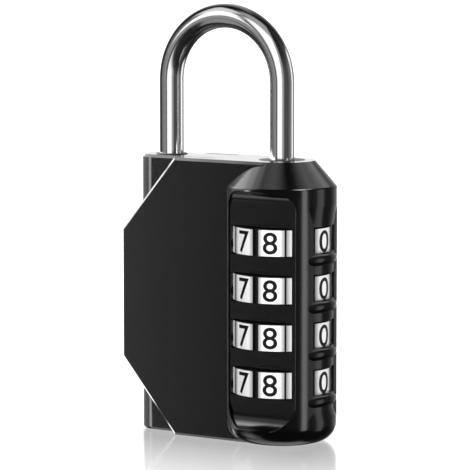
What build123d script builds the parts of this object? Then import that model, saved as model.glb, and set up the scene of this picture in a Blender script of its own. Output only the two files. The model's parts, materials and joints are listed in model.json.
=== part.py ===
"""Four-dial combination padlock: zinc case, steel shackle, clutch sleeves and number dials.

Frame: +Z up along the shackle, +X towards the dial column, -Y is the front face.
The origin is on the flat underside, at the centre of the overall width and depth.
"""

import os
from math import cos, radians, sin

from build123d import *

os.makedirs("parts", exist_ok=True)

# ---- driving dimensions, mm ----
body_width = 40.6
body_height = 51.0
plate_half = 6.6            # half the depth over the two flat six-sided faces
core_half = 4.0             # half the depth of the inner block behind those faces
column_r = 9.95             # round column that holds the dials
overall_height = 78.85
rod_r = 2.25
leg_spacing = 23.8
dial_pitch = 8.52
lowest_dial_z = 11.28
dial_count = 4
dial_r = 8.95
dial_thickness = 5.0
running_gap = 0.05

# ---- case outline ----
left_x = -body_width / 2
dial_x = body_width / 2 - column_r
corner_run = 11.5
corner_rise = 13.7
plate_bevel = 0.5
core_left_x = left_x + 1.0
core_right_x = -1.5
core_bevel = 0.5
column_top_r = 6.0
shoulder_z = 46.4           # where the cone at the top of the column starts
shoulder_blend = 0.6
base_blend = 3.6
thumb_top_z = 45.9          # flat thumb recess across the front and the back of the column
thumb_top_blend = 2.4
thumb_low_z = 2.9
thumb_low_blend = 3.5
thumb_half = 7.03
thumb_top_corner = 3.4
thumb_low_corner = 5.0
thumb_rim_blend = 0.12

# ---- windows and finger ridges ----
slot_r = 9.05
slot_half_height = 2.65
boss_slot_r = 6.45          # the upper part of each dial slot, for the boss and its detent leaf
boss_slot_high = 3.25
leaf_slot_front = 3.3
front_window_left = 6.65    # distances from the dial axis
front_window_right = 5.85
window_half_height = 2.62
side_window_half = 3.55
side_window_low = 1.95
side_window_high = 2.75
groove_floor_r = 9.5        # shallow groove down the side, with a ridge under each window
groove_front_edge = 60      # angles round the dial axis from the front
groove_front_floor = 69
groove_rear_floor = 116
groove_rear_edge = 119
groove_low_z = 6.2
groove_high_z = 39.8
groove_runout_low = 1.6
groove_runout_high = 3.4
ridge_r = 1.3

# ---- lock works, on the dial axis ----
rod_bore_r = rod_r + running_gap
sleeve_r = 4.2
spline_r = 4.7
spline_width = 0.9
sleeve_bore_r = 4.78
relief_r = 3.5
collar_low = 6.75           # collar of each sleeve, above the sleeve's own pitch floor
sleeve_gap = 0.1
gate_width = 1.3
pin_r = 0.55
pin_reach = 3.3
pin_height = 5.9
works_top_z = lowest_dial_z + dial_pitch * (dial_count - 0.5)
works_low_z = lowest_dial_z - dial_pitch / 2
bushing_low_z = 47.95
bushing_r = 4.2
chamber_r = 3.6
plug_r = 5.0
plug_top_z = 2.5

# ---- dials ----
digit_count = 10
rim_bevel = 0.2
boss_r = 6.2
boss_height = 0.6
scallop_r = 0.75
scallop_centre_r = 6.4
wide_groove = 1.0
wide_groove_depth = 0.5
fine_groove = 0.25
fine_groove_depth = 0.3
dial_bore_r = 4.3
dial_notch_r = 4.8
dial_notch_width = 1.05

# ---- shackle ----
crown_z = overall_height - rod_r - leg_spacing / 2
heel_end_z = 4.0
toe_end_z = 43.5
leg_bevel = 0.5
clip_low_z = 4.6
clip_thickness = 0.6
clip_r = 3.1
clip_groove_r = 1.6
toe_x = dial_x - leg_spacing
toe_bushing_r = 2.75
toe_flange_r = 2.9
toe_flange_height = 0.15
toe_pocket_z = 42.5

# ---- fasteners and small parts ----
case_pin_r = 1.2
case_pin_half = 5.4
case_pin_places = [(-15.0, 9.0), (-15.0, 37.0), (-5.0, 5.0), (-5.0, 46.0)]
core_slot_width = 6.0
core_slot_height = 20.0
core_slot_places = [(-13.4, 23.0), (-5.4, 25.5)]
core_slot_corner = 1.5
spring_r = 4.0
spring_wire_r = 0.32
spring_pitch = 1.15
spring_low_z = 2.9
spring_height = 3.0
washer_inner_r = 3.3
washer_low_z = 6.4
washer_thickness = 0.55
leaf_thickness = 0.22
leaf_height = 0.45
leaf_bends = [(-8.7, 3.0), (-6.85, 1.0), (-5.95, 0), (-6.85, -1.0), (-8.3, -3.0)]

dial_axis = Plane((dial_x, 0, 0))
dial_heights = [lowest_dial_z + dial_pitch * (dial_count - 1 - n) for n in range(dial_count)]


def write(piece, name):
    """Label one finished piece and write it as its own STEP file."""
    piece.part.label = name
    export_step(piece.part, f"parts/{name}.step")


def on_axis(z):
    """The horizontal plane at height z with its origin on the dial axis."""
    return Plane((dial_x, 0, z))


def polar(radius, angle):
    """A point round the dial axis; angle 0 faces front, 90 faces the side windows."""
    return (radius * sin(radians(angle)), -radius * cos(radians(angle)))


# ---- the outside of the whole case, shared by the front case and the rear cover ----
with BuildPart() as thumb_recess:
    with BuildSketch(Plane.YZ.offset(-column_r - 1)) as thumb_profile:
        with Locations((-plate_half, thumb_low_z)):
            Rectangle(column_r, thumb_top_z - thumb_low_z, align=(Align.MAX, Align.MIN))
        floor_corners = thumb_profile.vertices().group_by(Axis.X)[-1].sort_by(Axis.Y)
        fillet(floor_corners[0], thumb_low_blend)
        top_corner = thumb_profile.vertices().sort_by(Axis.Y).filter_by(
            lambda v: abs(v.X + plate_half) < 0.01 and v.Y > shoulder_z / 2
        )[-1]
        fillet(top_corner, thumb_top_blend)
        mirror(about=Plane.YZ)
    extrude(amount=2 * column_r + 2)
    with BuildSketch(Plane.XZ.offset(-2 * column_r)) as thumb_outline:
        with Locations((0, thumb_low_z)):
            Rectangle(2 * thumb_half, thumb_top_z - thumb_low_z, align=(Align.CENTER, Align.MIN))
        fillet(thumb_outline.vertices().group_by(Axis.Y)[0], thumb_low_corner)
        fillet(thumb_outline.vertices().group_by(Axis.Y)[-1], thumb_top_corner)
    extrude(amount=4 * column_r, mode=Mode.INTERSECT)

with BuildPart() as column:
    with BuildSketch(Plane.XZ) as column_profile:
        with BuildLine():
            Polyline(
                (0, 0),
                (column_r, 0),
                (column_r, shoulder_z),
                (column_top_r, body_height),
                (0, body_height),
                close=True,
            )
        make_face()
        base_corner = column_profile.vertices().group_by(Axis.Y)[0].sort_by(Axis.X)[-1]
        fillet(base_corner, base_blend)
        shoulder = column_profile.vertices().sort_by(Axis.X).filter_by(lambda v: abs(v.Y - shoulder_z) < 0.01)
        fillet(shoulder, shoulder_blend)
    revolve(axis=Axis.Z)
    add(thumb_recess.part, mode=Mode.SUBTRACT)
    thumb_rims = column.edges().filter_by(Axis.Z).filter_by(
        lambda e: abs(abs(e.center().X) - thumb_half) < 0.01 and abs(e.center().Y) > plate_half + 0.1
    )
    fillet(thumb_rims, thumb_rim_blend)

with BuildPart() as side_groove:
    with BuildSketch(Plane.XZ) as groove_profile:
        with BuildLine():
            Polyline(
                (groove_floor_r, groove_low_z),
                (groove_floor_r, groove_high_z),
                (column_r, groove_high_z + groove_runout_high),
                (column_r + 2, groove_high_z + groove_runout_high),
                (column_r + 2, groove_low_z - groove_runout_low),
                (column_r, groove_low_z - groove_runout_low),
                close=True,
            )
        make_face()
    revolve(axis=Axis.Z)
    with BuildSketch() as groove_plan:
        with BuildLine():
            Polyline(
                polar(column_r, groove_front_edge),
                polar(groove_floor_r, groove_front_floor),
                polar(groove_floor_r, groove_rear_floor),
                polar(column_r, groove_rear_edge),
                polar(2 * column_r, groove_rear_edge),
                polar(2 * column_r, groove_front_edge),
                close=True,
            )
        make_face()
    extrude(amount=body_height, mode=Mode.INTERSECT)

with BuildPart() as outside:
    with BuildSketch(Plane.XZ.offset(-plate_half)):
        with BuildLine():
            Polyline(
                (left_x, corner_rise),
                (left_x, body_height - corner_rise),
                (left_x + corner_run, body_height),
                (dial_x, body_height),
                (dial_x, 0),
                (left_x + corner_run, 0),
                close=True,
            )
        make_face()
    extrude(amount=2 * plate_half)
    rims = outside.faces().filter_by(Axis.Y).edges()
    chamfer(rims.filter_by(lambda e: e.center().X < dial_x - 0.1), plate_bevel)
    add(column.part.moved(Location((dial_x, 0, 0))))
    add(side_groove.part.moved(Location((dial_x, 0, 0))), mode=Mode.SUBTRACT)
    for z in dial_heights:
        ridge_z = z - side_window_low - ridge_r
        ridge_start = polar(column_r - ridge_r, groove_front_edge)
        with BuildSketch(Plane((dial_x, 0, 0), x_dir=(ridge_start[0], ridge_start[1], 0), z_dir=(
            ridge_start[1], -ridge_start[0], 0
        ))):
            with Locations((column_r - ridge_r, ridge_z)):
                Circle(ridge_r)
        ridge_arc = groove_rear_edge - groove_front_edge
        revolve(axis=Axis((dial_x, 0, 0), (0, 0, 1)), revolution_arc=ridge_arc)

# ---- hollows that the case pieces share ----
with BuildPart() as works_space:
    with BuildSketch(on_axis(0)):
        Circle(plug_r)
    extrude(amount=plug_top_z)
    with BuildSketch(on_axis(plug_top_z)):
        Circle(sleeve_bore_r)
    extrude(amount=works_top_z - plug_top_z)
    with BuildSketch(on_axis(works_top_z)):
        Circle(chamber_r)
    extrude(amount=bushing_low_z - works_top_z)
    with BuildSketch(on_axis(bushing_low_z)):
        Circle(bushing_r)
    extrude(amount=body_height - bushing_low_z)
    for z in dial_heights:
        with BuildSketch(on_axis(z - slot_half_height)):
            Circle(slot_r)
            Rectangle(slot_r, side_window_half, align=(Align.MAX, Align.MIN))
        extrude(amount=2 * slot_half_height)
        with BuildSketch(on_axis(z)):
            Circle(boss_slot_r)
            Rectangle(2 * boss_slot_r, side_window_half, align=(Align.CENTER, Align.MIN))
            Rectangle(slot_r, side_window_half, align=(Align.MAX, Align.MIN))
            Rectangle(slot_r, leaf_slot_front, align=(Align.MAX, Align.MAX))
        extrude(amount=boss_slot_high)
        with BuildSketch(on_axis(z - window_half_height)):
            Rectangle(front_window_left, 4 * column_r, align=(Align.MAX, Align.CENTER))
            Rectangle(front_window_right, 4 * column_r, align=(Align.MIN, Align.CENTER))
        extrude(amount=2 * window_half_height)
        with BuildSketch(on_axis(z - side_window_low)):
            Rectangle(2 * column_r, 2 * side_window_half, align=(Align.MIN, Align.CENTER))
        extrude(amount=side_window_low + side_window_high)

with BuildPart() as case_pins:
    with BuildSketch(Plane.XZ.offset(-case_pin_half)):
        with Locations(case_pin_places):
            Circle(case_pin_r)
    extrude(amount=2 * case_pin_half)

# ---- case pieces ----
with BuildPart() as front_case:
    add(outside.part)
    with BuildSketch():
        with BuildLine():
            Polyline(
                (left_x - 1, -column_r - 1),
                (left_x - 1, -core_half),
                (core_right_x, -core_half),
                (core_right_x, side_window_half),
                (dial_x + column_r + 1, side_window_half),
                (dial_x + column_r + 1, -column_r - 1),
                close=True,
            )
        make_face()
    extrude(amount=body_height, mode=Mode.INTERSECT)
    add(works_space.part, mode=Mode.SUBTRACT)
    add(case_pins.part, mode=Mode.SUBTRACT)
write(front_case, "front_case")

with BuildPart() as rear_cover:
    add(outside.part)
    with BuildSketch():
        with Locations((core_right_x, core_half)):
            Rectangle(body_width, column_r, align=(Align.MAX, Align.MIN))
        with Locations((core_right_x, side_window_half)):
            Rectangle(body_width, column_r, align=(Align.MIN, Align.MIN))
    extrude(amount=body_height, mode=Mode.INTERSECT)
    add(works_space.part, mode=Mode.SUBTRACT)
    add(case_pins.part, mode=Mode.SUBTRACT)
write(rear_cover, "rear_cover")

with BuildPart() as core_block:
    with BuildSketch() as core_plan:
        with Locations((core_left_x, 0)):
            Rectangle(core_right_x - core_left_x, 2 * core_half, align=(Align.MIN, Align.CENTER))
        fillet(core_plan.vertices().group_by(Axis.X)[0], core_half - 0.01)
    extrude(amount=body_height)
    rounded_end = core_block.edges().group_by(Axis.Z)
    chamfer((rounded_end[0] + rounded_end[-1]).filter_by(GeomType.CIRCLE), core_bevel)
    with BuildSketch(Plane.XZ.offset(-core_half)):
        with Locations(core_slot_places):
            RectangleRounded(core_slot_width, core_slot_height, core_slot_corner)
    extrude(amount=2 * core_half, mode=Mode.SUBTRACT)
    with BuildSketch(Plane((toe_x, 0, toe_pocket_z))):
        Circle(toe_bushing_r)
    extrude(amount=body_height - toe_pocket_z, mode=Mode.SUBTRACT)
    add(case_pins.part, mode=Mode.SUBTRACT)
write(core_block, "core_block")
write(case_pins, "case_pins")

with BuildPart() as toe_bushing:
    with BuildSketch(Plane((toe_x, 0, toe_pocket_z))):
        Circle(toe_bushing_r)
    extrude(amount=body_height - toe_pocket_z)
    with BuildSketch(Plane((toe_x, 0, body_height))):
        Circle(toe_flange_r)
    extrude(amount=toe_flange_height)
    fillet(toe_bushing.edges().group_by(Axis.Z)[-1], toe_flange_height / 2)
    with BuildSketch(Plane((toe_x, 0, toe_pocket_z + toe_flange_height))):
        Circle(rod_bore_r)
    extrude(amount=body_height, mode=Mode.SUBTRACT)
write(toe_bushing, "toe_bushing")

with BuildPart() as heel_bushing:
    with BuildSketch(on_axis(bushing_low_z)):
        Circle(bushing_r)
        Circle(rod_bore_r, mode=Mode.SUBTRACT)
    extrude(amount=body_height - bushing_low_z)
write(heel_bushing, "heel_bushing")

with BuildPart() as bottom_plug:
    with BuildSketch(on_axis(0)):
        Circle(plug_r)
    extrude(amount=plug_top_z)
    chamfer(bottom_plug.edges().group_by(Axis.Z)[0], plate_bevel)
write(bottom_plug, "bottom_plug")

# ---- lock works ----
with BuildPart() as reset_spring:
    with BuildLine():
        coil = Helix(spring_pitch, spring_height, spring_r, center=(dial_x, 0, spring_low_z))
    with BuildSketch(Plane(coil @ 0, z_dir=coil % 0)):
        Circle(spring_wire_r)
    sweep(is_frenet=True)
write(reset_spring, "reset_spring")

with BuildPart() as spring_washer:
    with BuildSketch(on_axis(washer_low_z)):
        Circle(sleeve_bore_r - running_gap)
        Circle(washer_inner_r, mode=Mode.SUBTRACT)
    extrude(amount=washer_thickness)
write(spring_washer, "spring_washer")


def make_dial(z):
    """A ten-face number dial with a splined bore and a scalloped detent boss."""
    with BuildPart() as dial:
        with BuildSketch(on_axis(z - dial_thickness / 2)):
            Circle(dial_r)
        extrude(amount=dial_thickness)
        chamfer(dial.edges(), rim_bevel)
        with BuildSketch(on_axis(z + dial_thickness / 2)):
            Circle(boss_r)
            with PolarLocations(scallop_centre_r, digit_count, start_angle=180):
                Circle(scallop_r, mode=Mode.SUBTRACT)
        extrude(amount=boss_height)
        with BuildSketch(on_axis(z - dial_thickness)):
            Circle(dial_bore_r)
            with PolarLocations(0, digit_count):
                Rectangle(dial_notch_r, dial_notch_width, align=(Align.MIN, Align.CENTER))
        extrude(amount=2 * dial_thickness, mode=Mode.SUBTRACT)
        with BuildSketch(on_axis(z - dial_thickness / 2)):
            with PolarLocations(dial_r, 2, start_angle=-90):
                Rectangle(2 * wide_groove_depth, wide_groove)
            with PolarLocations(dial_r, digit_count, start_angle=-90):
                Rectangle(2 * fine_groove_depth, fine_groove)
        extrude(amount=dial_thickness, mode=Mode.SUBTRACT)
    return dial


def make_sleeve(z):
    """A clutch sleeve: splined outside, hollow below, with a gated collar at its top."""
    floor_z = z - dial_pitch / 2
    with BuildPart() as sleeve:
        with BuildSketch(on_axis(floor_z + sleeve_gap)):
            Circle(sleeve_r)
        extrude(amount=dial_pitch - 2 * sleeve_gap)
        with BuildSketch(on_axis(z - dial_thickness / 2)):
            with PolarLocations(0, digit_count):
                Rectangle(spline_r, spline_width, align=(Align.MIN, Align.CENTER))
        extrude(amount=dial_thickness)
        with BuildSketch(on_axis(floor_z)):
            Circle(relief_r)
        extrude(amount=collar_low, mode=Mode.SUBTRACT)
        with BuildSketch(on_axis(floor_z)):
            Circle(rod_bore_r)
            Rectangle(relief_r, gate_width, align=(Align.MAX, Align.CENTER))
        extrude(amount=dial_pitch, mode=Mode.SUBTRACT)
    return sleeve


def make_leaf(z):
    """A bent detent leaf whose nose rests in a scallop of the dial's boss."""
    with BuildPart() as leaf:
        with BuildSketch(on_axis(z + dial_thickness / 2 + (boss_height - leaf_height) / 2)):
            with BuildLine():
                Polyline(*leaf_bends)
            trace(line_width=leaf_thickness)
        extrude(amount=leaf_height)
    return leaf


for number, z in enumerate(dial_heights, start=1):
    write(make_dial(z), f"dial_{number}")
    write(make_sleeve(z), f"clutch_sleeve_{number}")
    write(make_leaf(z), f"detent_leaf_{number}")

# ---- shackle and the pieces it carries ----
with BuildPart() as shackle_pins:
    for z in dial_heights:
        with BuildSketch(Plane((dial_x - pin_reach, 0, z - dial_pitch / 2 + pin_height), z_dir=(1, 0, 0))):
            Circle(pin_r)
        extrude(amount=pin_reach + rod_r / 2)
write(shackle_pins, "shackle_pins")

with BuildPart() as shackle:
    with BuildLine():
        Line((dial_x, 0, heel_end_z), (dial_x, 0, crown_z))
        ThreePointArc((dial_x, 0, crown_z), (dial_x - leg_spacing / 2, 0, crown_z + leg_spacing / 2),
                      (toe_x, 0, crown_z))
        Line((toe_x, 0, crown_z), (toe_x, 0, toe_end_z))
    with BuildSketch(on_axis(heel_end_z)):
        Circle(rod_r)
    sweep()
    chamfer(shackle.faces().filter_by(Axis.Z).edges(), leg_bevel)
    with BuildSketch(on_axis(clip_low_z)):
        Circle(rod_r + 1)
        Circle(clip_groove_r, mode=Mode.SUBTRACT)
    extrude(amount=clip_thickness, mode=Mode.SUBTRACT)
    add(shackle_pins.part, mode=Mode.SUBTRACT)
write(shackle, "shackle")

with BuildPart() as heel_clip:
    with BuildSketch(on_axis(clip_low_z)):
        Circle(clip_r)
        Circle(clip_groove_r, mode=Mode.SUBTRACT)
        with Locations((clip_groove_r, 0)):
            Rectangle(clip_r, 1.4 * clip_groove_r, mode=Mode.SUBTRACT)
    extrude(amount=clip_thickness)
write(heel_clip, "heel_clip")
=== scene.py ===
"""Looks for the four-dial combination padlock: materials, numbers, studio and camera."""

import json
import math

import bmesh
import bpy
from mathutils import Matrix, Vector

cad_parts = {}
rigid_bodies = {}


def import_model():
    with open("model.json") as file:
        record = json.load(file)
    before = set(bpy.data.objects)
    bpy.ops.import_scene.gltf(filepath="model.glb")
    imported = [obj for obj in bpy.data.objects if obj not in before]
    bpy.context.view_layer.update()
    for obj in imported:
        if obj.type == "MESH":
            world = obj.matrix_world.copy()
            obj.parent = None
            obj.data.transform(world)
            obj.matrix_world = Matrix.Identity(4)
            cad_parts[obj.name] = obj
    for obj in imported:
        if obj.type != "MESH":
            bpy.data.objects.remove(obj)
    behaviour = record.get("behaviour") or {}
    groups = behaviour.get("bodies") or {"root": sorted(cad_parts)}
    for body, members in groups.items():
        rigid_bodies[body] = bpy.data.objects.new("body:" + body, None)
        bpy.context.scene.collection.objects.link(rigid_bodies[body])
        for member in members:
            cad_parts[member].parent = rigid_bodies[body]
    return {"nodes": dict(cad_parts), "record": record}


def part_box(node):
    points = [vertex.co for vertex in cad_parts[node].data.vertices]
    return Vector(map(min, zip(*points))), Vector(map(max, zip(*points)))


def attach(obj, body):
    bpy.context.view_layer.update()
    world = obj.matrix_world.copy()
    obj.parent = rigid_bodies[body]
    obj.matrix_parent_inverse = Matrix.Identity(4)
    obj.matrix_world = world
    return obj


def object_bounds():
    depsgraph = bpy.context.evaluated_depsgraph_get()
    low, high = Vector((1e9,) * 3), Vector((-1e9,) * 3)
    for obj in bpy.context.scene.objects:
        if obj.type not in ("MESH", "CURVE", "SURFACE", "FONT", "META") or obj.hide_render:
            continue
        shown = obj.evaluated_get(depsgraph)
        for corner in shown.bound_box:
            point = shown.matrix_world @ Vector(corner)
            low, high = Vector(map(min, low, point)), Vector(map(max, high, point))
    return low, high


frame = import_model()
cad_box = [list(corner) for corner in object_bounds()]
nodes = frame["nodes"]

MM = 0.001
DIALS = [f"dial_{n}" for n in range(1, 5)]

# ---- places taken from the frame ----
dial_low, dial_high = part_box("dial_1")
dial_x = (dial_low[0] + dial_high[0]) / 2
dial_r = (dial_high[0] - dial_low[0]) / 2


# ---- node helpers ----
def new_material(name):
    """An empty node material with its output and Principled shader joined."""
    material = bpy.data.materials.new(name)
    material.use_nodes = True
    tree = material.node_tree
    tree.nodes.clear()
    output = tree.nodes.new("ShaderNodeOutputMaterial")
    shader = tree.nodes.new("ShaderNodeBsdfPrincipled")
    tree.links.new(shader.outputs["BSDF"], output.inputs["Surface"])
    return material, tree, shader


def add(tree, kind, inputs=None, **settings):
    """One node with its settings and its unlinked input values."""
    node = tree.nodes.new(kind)
    for key, value in settings.items():
        setattr(node, key, value)
    for key, value in (inputs or {}).items():
        node.inputs[key].default_value = value
    return node


def ramp(tree, source, stops):
    """A colour ramp driven by one socket; each stop is a place and an RGB colour."""
    node = add(tree, "ShaderNodeValToRGB")
    elements = node.color_ramp.elements
    while len(elements) < len(stops):
        elements.new(0.5)
    for element, (place, colour) in zip(elements, stops):
        element.position = place
        element.color = (*colour, 1)
    tree.links.new(source, node.inputs["Fac"])
    return node.outputs["Color"]


def grey(value):
    """A grey as an RGB colour."""
    return (value, value, value)


def noise(tree, place, scale, detail, roughness=0.5):
    """The grain of a noise texture, 0 to 1."""
    node = add(tree, "ShaderNodeTexNoise", {"Scale": scale, "Detail": detail, "Roughness": roughness})
    tree.links.new(place, node.inputs["Vector"])
    return node.outputs["Fac"]


def stretched(tree, scale):
    """Object coordinates stretched by a scale for each axis."""
    coords = add(tree, "ShaderNodeTexCoord")
    mapping = add(tree, "ShaderNodeMapping", {"Scale": scale})
    tree.links.new(coords.outputs["Object"], mapping.inputs["Vector"])
    return mapping.outputs["Vector"]


def bump(tree, shader, height, strength, distance):
    """Relief on a shader's normal from one height socket; the distance is in metres."""
    node = add(tree, "ShaderNodeBump", {"Strength": strength, "Distance": distance})
    tree.links.new(height, node.inputs["Height"])
    tree.links.new(node.outputs["Normal"], shader.inputs["Normal"])


def math_node(tree, operation, a, b=None):
    """One sum on sockets or plain numbers."""
    node = add(tree, "ShaderNodeMath", operation=operation)
    for socket, value in zip(node.inputs, (a, b)):
        if value is None:
            continue
        if isinstance(value, (int, float)):
            socket.default_value = value
        else:
            tree.links.new(value, socket)
    return node.outputs[0]


def dial_place(tree):
    """Distance of the shaded point from the dial axis (m), and its angle from the front (rad, never negative)."""
    coords = add(tree, "ShaderNodeTexCoord")
    split = add(tree, "ShaderNodeSeparateXYZ")
    tree.links.new(coords.outputs["Object"], split.inputs[0])
    across = math_node(tree, "SUBTRACT", split.outputs["X"], dial_x)
    back = split.outputs["Y"]
    across_squared = math_node(tree, "MULTIPLY", across, across)
    back_squared = math_node(tree, "MULTIPLY", back, back)
    radius = math_node(tree, "SQRT", math_node(tree, "ADD", across_squared, back_squared))
    angle = math_node(tree, "ARCTAN2", across, math_node(tree, "MULTIPLY", back, -1.0))
    return radius, math_node(tree, "ABSOLUTE", angle)


# ---- materials ----
def coated_zinc(name, base=0.003, roughness=0.16):
    """Satin black coating on a die casting: faint orange peel, and a finer speckle in its roughness."""
    material, tree, shader = new_material(name)
    place = stretched(tree, (1, 1, 1))
    patches = noise(tree, place, 90, 3)
    colour = ramp(tree, patches, [(0.3, grey(base * 0.85)), (0.7, grey(base * 1.2))])
    tree.links.new(colour, shader.inputs["Base Color"])
    speckle = noise(tree, place, 2600, 2)
    rough = ramp(tree, speckle, [(0.3, grey(roughness * 0.9)), (0.7, grey(roughness * 1.15))])
    tree.links.new(rough, shader.inputs["Roughness"])
    bump(tree, shader, noise(tree, place, 900, 2), 0.06, 0.02 * MM)
    return material


def chrome(name):
    """Bright plate over drawn rod: lengthwise polishing lines, hardly visible."""
    material, tree, shader = new_material(name)
    shader.inputs["Metallic"].default_value = 1.0
    place = stretched(tree, (1, 1, 0.04))
    lines = noise(tree, place, 2500, 3)
    colour = ramp(tree, lines, [(0.2, (0.83, 0.83, 0.82)), (0.8, (0.9, 0.9, 0.895))])
    tree.links.new(colour, shader.inputs["Base Color"])
    rough = ramp(tree, lines, [(0.25, grey(0.12)), (0.75, grey(0.16))])
    tree.links.new(rough, shader.inputs["Roughness"])
    bump(tree, shader, lines, 0.015, 0.01 * MM)
    return material


DIGIT_STEP = math.radians(36)
FINE_LINE = 0.17 * MM        # half width of the black line between two numbers
WIDE_LINE = 0.6 * MM         # half width of the two wide black lines on opposite sides
RIM_DEPTH = 0.06 * MM        # the silver ends this far below the rim
PAINTED_SHADE_WIDTH = 0.95 * MM       # painted shade: the silver is painted darker over this width beside a line
PAINTED_SHADE_EDGE_SHARE = 0.3        # share of its brightness that the painted shade leaves right beside the line
# black on the dial's end faces and in bands over the grooves between numbers
END_AND_GROOVE_BLACK = (0.004, 0.004, 0.004, 1)


def dial_silver(name):
    """Turned silver, with painted shading that darkens it towards the grooves; black on the end faces and in
    bands over the grooves.
    """
    material, tree, shader = new_material(name)
    place = stretched(tree, (0.05, 0.05, 1))
    turned = noise(tree, place, 9000, 4, 0.6)
    colour = ramp(tree, turned, [(0.25, grey(0.78)), (0.75, grey(0.95))])
    radius, angle = dial_place(tree)
    rim = math_node(tree, "GREATER_THAN", radius, dial_r - RIM_DEPTH)
    # painted shade: each face's silver is darkened towards the lines on both sides, in place of its dimmer
    # reflection there
    painted_shade = 1.0
    for spacing, half_width in ((DIGIT_STEP, FINE_LINE), (math.pi, WIDE_LINE)):
        beside = math_node(tree, "MULTIPLY", math_node(tree, "PINGPONG", angle, spacing / 2), dial_r)
        rim = math_node(tree, "MULTIPLY", rim, math_node(tree, "GREATER_THAN", beside, half_width))
        fade = add(tree, "ShaderNodeMapRange", {
            "From Min": half_width, "From Max": half_width + PAINTED_SHADE_WIDTH, "To Min": PAINTED_SHADE_EDGE_SHARE, "To Max": 1.0,
        })
        tree.links.new(beside, fade.inputs["Value"])
        painted_shade = math_node(tree, "MINIMUM", fade.outputs["Result"], painted_shade)
    silver = add(tree, "ShaderNodeVectorMath", operation="SCALE")
    tree.links.new(colour, silver.inputs[0])
    tree.links.new(painted_shade, silver.inputs["Scale"])
    mix = add(tree, "ShaderNodeMix", data_type="RGBA")
    tree.links.new(rim, mix.inputs["Factor"])
    mix.inputs["A"].default_value = END_AND_GROOVE_BLACK
    tree.links.new(silver.outputs["Vector"], mix.inputs["B"])
    tree.links.new(mix.outputs["Result"], shader.inputs["Base Color"])
    tree.links.new(math_node(tree, "MULTIPLY", rim, 0.3), shader.inputs["Metallic"])
    specular = math_node(tree, "MAXIMUM", math_node(tree, "MULTIPLY", rim, 0.5), 0.1)
    tree.links.new(specular, shader.inputs["Specular IOR Level"])
    rough = ramp(tree, turned, [(0.3, grey(0.3)), (0.7, grey(0.42))])
    tree.links.new(rough, shader.inputs["Roughness"])
    bump(tree, shader, turned, 0.15, 0.01 * MM)
    return material


def machined(name, low, high, rough_low=0.25, rough_high=0.4, metal=1.0, specular=0.5):
    """Plain machined or drawn metal with turning marks."""
    material, tree, shader = new_material(name)
    shader.inputs["Metallic"].default_value = metal
    shader.inputs["Specular IOR Level"].default_value = specular
    marks = noise(tree, stretched(tree, (0.1, 0.1, 1)), 5000, 3)
    tree.links.new(ramp(tree, marks, [(0.3, low), (0.7, high)]), shader.inputs["Base Color"])
    rough = ramp(tree, marks, [(0.3, grey(rough_low)), (0.7, grey(rough_high))])
    tree.links.new(rough, shader.inputs["Roughness"])
    bump(tree, shader, marks, 0.1, 0.01 * MM)
    return material


MATERIALS = {
    "case_black": coated_zinc("coated_zinc"),
    "shackle_chrome": chrome("chrome_plate"),
    "dial_metal": dial_silver("dial_silver"),
    "bushing_black": machined("black_acetal", grey(0.012), grey(0.02), 0.4, 0.5, metal=0.0),
    "brass": machined("sleeve_brass", (0.6, 0.42, 0.16), (0.78, 0.58, 0.27)),
    "steel": machined("ground_steel", grey(0.45), grey(0.6)),
    "spring_steel": machined("spring_steel", (0.3, 0.3, 0.32), (0.42, 0.42, 0.45)),
}
INK = machined("number_ink", grey(0.003), grey(0.006), 0.45, 0.55, metal=0.0, specular=0.1)

for part in frame["record"]["subparts"]:
    mesh = nodes[part["node"]].data
    mesh.materials.clear()
    mesh.materials.append(MATERIALS[part["material_slot"]])

# ---- numbers on the dials ----
DIGIT_HEIGHT = 3.95 * MM
DIGIT_WIDTH = 2.7 * MM
WIDTH_SHARES = {"0": 1.15, "1": 0.45}
INK_HEIGHT = 0.02 * MM       # the ink stands this far above the rim
INK_DEPTH = 0.03 * MM        # and reaches this far below it
STRIP = 0.25 * MM            # widest flat strip of a figure before it is wrapped round the dial
SIDE_WINDOW_ANGLE = math.radians(90)
DIAL_HALF_HEIGHT = 2.5 * MM


def flat_digit(figure):
    """A thin closed solid of one figure, centred, standing in the XZ plane, cut in narrow upright strips."""
    curve = bpy.data.curves.new("figure", "FONT")
    curve.body = figure
    curve.extrude = 0.5
    curve.resolution_u = 8
    curve.offset = 0.01
    holder = bpy.data.objects.new("figure", curve)
    bpy.context.scene.collection.objects.link(holder)
    bpy.context.view_layer.update()
    mesh = bpy.data.meshes.new_from_object(holder.evaluated_get(bpy.context.evaluated_depsgraph_get()))
    bpy.data.objects.remove(holder)
    work = bmesh.new()
    work.from_mesh(mesh)
    bpy.data.meshes.remove(mesh)
    bmesh.ops.remove_doubles(work, verts=work.verts, dist=1e-5)
    low = [min(v.co[i] for v in work.verts) for i in range(3)]
    high = [max(v.co[i] for v in work.verts) for i in range(3)]
    for v in work.verts:
        across = (v.co.x - low[0]) / (high[0] - low[0]) - 0.5
        up = (v.co.y - low[1]) / (high[1] - low[1]) - 0.5
        out = (v.co.z - low[2]) / (high[2] - low[2])
        width = DIGIT_WIDTH * WIDTH_SHARES.get(figure, 1)
        v.co = Vector((across * width, out, up * DIGIT_HEIGHT))
    strips = int(DIGIT_WIDTH / STRIP)
    for n in range(1, strips):
        geometry = work.verts[:] + work.edges[:] + work.faces[:]
        cut = (n / strips - 0.5) * DIGIT_WIDTH
        bmesh.ops.bisect_plane(work, geom=geometry, plane_co=(cut, 0, 0), plane_no=(1, 0, 0))
    return work


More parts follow.
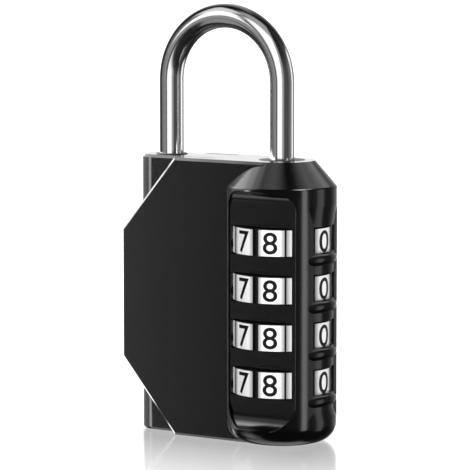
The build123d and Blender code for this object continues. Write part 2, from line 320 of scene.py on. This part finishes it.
def dial_numbers(dial):
    """All ten figures of one dial, wrapped round its rim; figure 0 faces the side windows."""
    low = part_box(dial)[0]
    rim_z = low[2] + DIAL_HALF_HEIGHT
    joined = bmesh.new()
    for figure in range(10):
        angle = SIDE_WINDOW_ANGLE + figure * DIGIT_STEP
        work = flat_digit(str(figure))
        for v in work.verts:
            around = angle + v.co.x / dial_r
            radius = dial_r - INK_DEPTH + v.co.y * (INK_DEPTH + INK_HEIGHT)
            v.co = Vector((
                dial_x + radius * math.sin(around), -radius * math.cos(around), rim_z + v.co.z,
            ))
        scratch = bpy.data.meshes.new("scratch")
        work.to_mesh(scratch)
        work.free()
        joined.from_mesh(scratch)
        bpy.data.meshes.remove(scratch)
    bmesh.ops.recalc_face_normals(joined, faces=joined.faces)
    mesh = bpy.data.meshes.new(f"{dial}_numbers")
    joined.to_mesh(mesh)
    joined.free()
    mesh.materials.append(INK)
    piece = bpy.data.objects.new(f"{dial}_numbers", mesh)
    bpy.context.scene.collection.objects.link(piece)
    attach(piece, f"{dial}_assembly")


for dial in DIALS:
    dial_numbers(dial)


# ---- studio ----
ROOM_PEAK = 2.0
ROOM_PROFILE = [
    # azimuth in degrees, 0 the front and 90 the side windows; brightness of the room there
    (-180, 0.6), (-168, 0.8), (-158, 2.0), (-136, 2.0), (-128, 0.9), (-116, 0.8), (-108, 0.03), (-82, 0.03),
    (-66, 0.2), (-52, 0.3), (-44, 0.12), (-26, 0.12), (-18, 0.04), (55, 0.08), (92, 0.08), (107, 0.2),
    (124, 0.25), (135, 0.1), (155, 0.1), (166, 0.35), (180, 0.6),
]
HEIGHT_PROFILE = [
    # sine of the elevation, share of the room's brightness that is left there
    (-1.0, 0.1), (-0.5, 0.08), (-0.32, 0.3), (-0.2, 1.0), (0.25, 1.0), (0.5, 0.35), (0.9, 0.1), (1.0, 0.08),
]
FLOOR_HALF_SIZE = 6.0
FLOOR_DROP = 0.02 * MM       # keeps the floor clear of the case's bottom
FLOOR_PAINTED_SHADOW_FADE = 40 * MM         # the painted shadow round the lock ends this far from it, and the lock's mirror image in the floor with it
FLOOR_GLOW_IN_PAINTED_SHADOW = 0.45            # painted shadow: glow of the floor beside the lock
LIGHT_DISTANCE = 1.2
LAYER_GAP = 0.004            # share of the distance between two lamps of one softbox
ROOM_CENTRE = Vector((0, 0, 40 * MM))
SCOOP = Vector((dial_x, -8 * MM, 4 * MM))
SCOOP_LIGHT_DISTANCE = 70 * MM
# Each softbox: azimuth, elevation, half width and half height in degrees, and brightness.
CASE_LIGHTS = [
    (-82, 52, 22, 22, 0.9),
    (-44, 36, 15, 15, 1.0),
    (-40, 66, 14, 14, 0.9),
    (0, 72, 15, 15, 1.3),
    (84, 46, 16, 16, 15.0),
    (130, 55, 20, 20, 1.5),
    (165, 42, 18, 18, 2.5),
    (-62, -50, 20, 20, 1.6),
    (-138, -68, 24, 18, 1.1),
    (-46, -8, 7, 20, 7.0),
    (-80, -7, 24, 20, 1.1),
    (80, -6, 6, 18, 3.6),
    (120, -5, 10, 24, 1.0),
]
FRONT_LIGHTS = [             # for the dark pieces other than the rear cover
    (-117, -3, 13, 28, 4.5),
]
SCOOP_LIGHT = (-84, 57, 23, 23, 5.2)
METAL_LIGHTS = [
    (9, 16, 25, 34, 1.15),
    (38, 16, 13, 34, 0.3),
    (-38, 20, 14, 16, 1.2),
    (-52, 46, 20, 16, 0.7),
    (-35, -9, 9, 12, 0.2),
    (-45, -36, 18, 16, 0.25),
    (20, 62, 22, 20, 0.35),
    (142, 0, 13, 30, 1.1),
]
DIAL_LIGHTS = [
    (10, 10, 60, 45, 1.5),
    (150, 0, 30, 40, 0.8),
]


def profile(tree, source, low, high, points, peak):
    """A smooth curve through points, read at one socket; the values are shares of the peak."""
    place = add(tree, "ShaderNodeMapRange", {"From Min": low, "From Max": high})
    tree.links.new(source, place.inputs["Value"])
    stops = [((x - low) / (high - low), grey(y / peak)) for x, y in points]
    return math_node(tree, "MULTIPLY", ramp(tree, place.outputs["Result"], stops), peak)


def build_world():
    """White to the camera; bright and dark uprights of a studio to the object's reflections."""
    world = bpy.data.worlds.new("studio")
    bpy.context.scene.world = world
    world.use_nodes = True
    tree = world.node_tree
    tree.nodes.clear()
    output = add(tree, "ShaderNodeOutputWorld")
    coords = add(tree, "ShaderNodeTexCoord")
    split = add(tree, "ShaderNodeSeparateXYZ")
    tree.links.new(coords.outputs["Generated"], split.inputs[0])
    front = math_node(tree, "MULTIPLY", split.outputs["Y"], -1.0)
    turn = math_node(tree, "DEGREES", math_node(tree, "ARCTAN2", split.outputs["X"], front))
    around = profile(tree, turn, -180, 180, ROOM_PROFILE, ROOM_PEAK)
    up = profile(tree, split.outputs["Z"], -1, 1, HEIGHT_PROFILE, 1.0)
    studio = add(tree, "ShaderNodeBackground")
    tree.links.new(math_node(tree, "MULTIPLY", around, up), studio.inputs["Strength"])
    white = add(tree, "ShaderNodeBackground", {"Color": (1, 1, 1, 1), "Strength": 1.0})
    path = add(tree, "ShaderNodeLightPath")
    mix = add(tree, "ShaderNodeMixShader")
    tree.links.new(path.outputs["Is Camera Ray"], mix.inputs["Fac"])
    tree.links.new(studio.outputs["Background"], mix.inputs[1])
    tree.links.new(white.outputs["Background"], mix.inputs[2])
    tree.links.new(mix.outputs["Shader"], output.inputs["Surface"])


def receivers(name, wanted):
    """The collection of pieces that a group of lamps shines on."""
    group = bpy.data.collections.new(name)
    for piece in bpy.context.scene.objects:
        if piece.type == "MESH" and wanted(piece):
            group.objects.link(piece)
    return group


def softbox(name, settings, group, centre=ROOM_CENTRE, distance=LIGHT_DISTANCE, steps=4):
    """Lamps of one centre and growing size, so that the softbox fades towards its edge."""
    azimuth, elevation, half_width, half_height, brightness = settings
    a, e = math.radians(azimuth), math.radians(elevation)
    way = Vector((math.sin(a) * math.cos(e), -math.cos(a) * math.cos(e), math.sin(e)))
    for step in range(1, steps + 1):
        lamp = bpy.data.lights.new(f"{name}_{step}", "AREA")
        lamp.shape = "ELLIPSE" if half_width == half_height else "RECTANGLE"
        share = step / steps if half_width == half_height else 0.75 + 0.25 * step / steps
        lamp.size = 2 * distance * math.tan(math.radians(half_width * share))
        lamp.size_y = 2 * distance * math.tan(math.radians(half_height * share))
        area = lamp.size * lamp.size_y * (math.pi / 4 if lamp.shape == "ELLIPSE" else 1)
        lamp.energy = brightness / steps * area * math.pi
        holder = bpy.data.objects.new(f"{name}_{step}", lamp)
        holder.location = centre + way * distance * (1 + LAYER_GAP * step)
        holder.rotation_euler = way.to_track_quat("Z", "Y").to_euler()
        holder.visible_camera = False
        holder.light_linking.receiver_collection = group
        bpy.context.scene.collection.objects.link(holder)


def wears(piece, *slots):
    """Whether a piece has the material of one of the slots, or the ink of the numbers."""
    return piece.data.materials[0] in [MATERIALS[slot] for slot in slots] + [INK]


def is_bright(piece):
    return wears(piece, "shackle_chrome", "dial_metal")


def build_lamps():
    """Softboxes for the dark case, for the bright metal, and more for the dials."""
    dark = receivers("dark_case", lambda piece: not is_bright(piece))
    front = receivers("dark_front", lambda piece: not is_bright(piece) and piece.name != "rear_cover")
    bright = receivers("bright_metal", is_bright)
    dials = receivers("dials", lambda piece: wears(piece, "dial_metal"))
    groups = [
        ("case", CASE_LIGHTS, dark),
        ("front", FRONT_LIGHTS, front),
        ("metal", METAL_LIGHTS, bright),
        ("dial", DIAL_LIGHTS, dials),
    ]
    for name, lights, group in groups:
        for n, settings in enumerate(lights, start=1):
            softbox(f"{name}_light_{n}", settings, group)
    softbox("scoop_light", SCOOP_LIGHT, dark, SCOOP, SCOOP_LIGHT_DISTANCE)


def build_floor():
    """A wide pale glowing floor that shows from above, but isn't mirrored in the object and casts no shadow; a
    painted shadow dims its glow round the lock.
    """
    size = FLOOR_HALF_SIZE
    mesh = bpy.data.meshes.new("floor")
    corners = [(-size, -size, 0), (size, -size, 0), (size, size, 0), (-size, size, 0)]
    mesh.from_pydata(corners, [], [(0, 1, 2, 3)])
    material = bpy.data.materials.new("pale_floor")
    material.use_nodes = True
    tree = material.node_tree
    tree.nodes.clear()
    output = add(tree, "ShaderNodeOutputMaterial")
    surface = add(tree, "ShaderNodeBsdfPrincipled", {"Base Color": (0.5, 0.5, 0.5, 1), "Roughness": 0.12})
    surface.inputs["Emission Color"].default_value = (1, 1, 1, 1)
    coords = add(tree, "ShaderNodeTexCoord")
    split = add(tree, "ShaderNodeSeparateXYZ")
    tree.links.new(coords.outputs["Object"], split.inputs[0])
    beyond = []
    for axis, half in (("X", cad_box[1][0]), ("Y", cad_box[1][1])):
        side = math_node(tree, "ABSOLUTE", split.outputs[axis])
        beyond.append(math_node(tree, "MAXIMUM", math_node(tree, "SUBTRACT", side, half), 0.0))
    away = add(tree, "ShaderNodeCombineXYZ")
    tree.links.new(beyond[0], away.inputs["X"])
    tree.links.new(beyond[1], away.inputs["Y"])
    distance = add(tree, "ShaderNodeVectorMath", operation="LENGTH")
    tree.links.new(away.outputs[0], distance.inputs[0])
    # painted shadow: the floor glows less near the lock's footprint and fully further away
    glow = add(tree, "ShaderNodeMapRange", {"From Max": FLOOR_PAINTED_SHADOW_FADE, "To Min": FLOOR_GLOW_IN_PAINTED_SHADOW, "To Max": 1.0})
    tree.links.new(distance.outputs["Value"], glow.inputs["Value"])
    tree.links.new(glow.outputs["Result"], surface.inputs["Emission Strength"])
    clear = add(tree, "ShaderNodeBsdfTransparent")
    path = add(tree, "ShaderNodeLightPath")
    side = add(tree, "ShaderNodeNewGeometry")
    unseen = math_node(tree, "MAXIMUM", path.outputs["Is Glossy Ray"], path.outputs["Is Shadow Ray"])
    unseen = math_node(tree, "MAXIMUM", unseen, side.outputs["Backfacing"])
    mix = add(tree, "ShaderNodeMixShader")
    tree.links.new(unseen, mix.inputs["Fac"])
    tree.links.new(surface.outputs["BSDF"], mix.inputs[1])
    tree.links.new(clear.outputs["BSDF"], mix.inputs[2])
    tree.links.new(mix.outputs["Shader"], output.inputs["Surface"])
    mesh.materials.append(material)
    floor = bpy.data.objects.new("floor", mesh)
    floor.location.z = -FLOOR_DROP
    bpy.context.scene.collection.objects.link(floor)


build_world()
build_lamps()
build_floor()

# ---- camera ----
CAMERA_AZIMUTH = math.radians(32.6)
CAMERA_DISTANCE = 573.6 * MM
CAMERA_HEIGHT = 102.5 * MM
FIELD_OF_VIEW = math.radians(8.4725)
TARGET_OFFSET = -10.04 * MM  # from the dial axis
TARGET_HEIGHT = 36.76 * MM

target = Vector((dial_x + TARGET_OFFSET, 0, TARGET_HEIGHT))
eye = target + Vector((
    CAMERA_DISTANCE * math.sin(CAMERA_AZIMUTH),
    -CAMERA_DISTANCE * math.cos(CAMERA_AZIMUTH),
    CAMERA_HEIGHT - TARGET_HEIGHT,
))
camera_data = bpy.data.cameras.new("camera")
camera_data.lens_unit = "FOV"
camera_data.angle = FIELD_OF_VIEW
camera = bpy.data.objects.new("camera", camera_data)
camera.location = eye
camera.rotation_euler = (target - eye).to_track_quat("-Z", "Y").to_euler()
bpy.context.scene.collection.objects.link(camera)
bpy.context.scene.camera = camera
bpy.context.scene.view_settings.view_transform = "Standard"
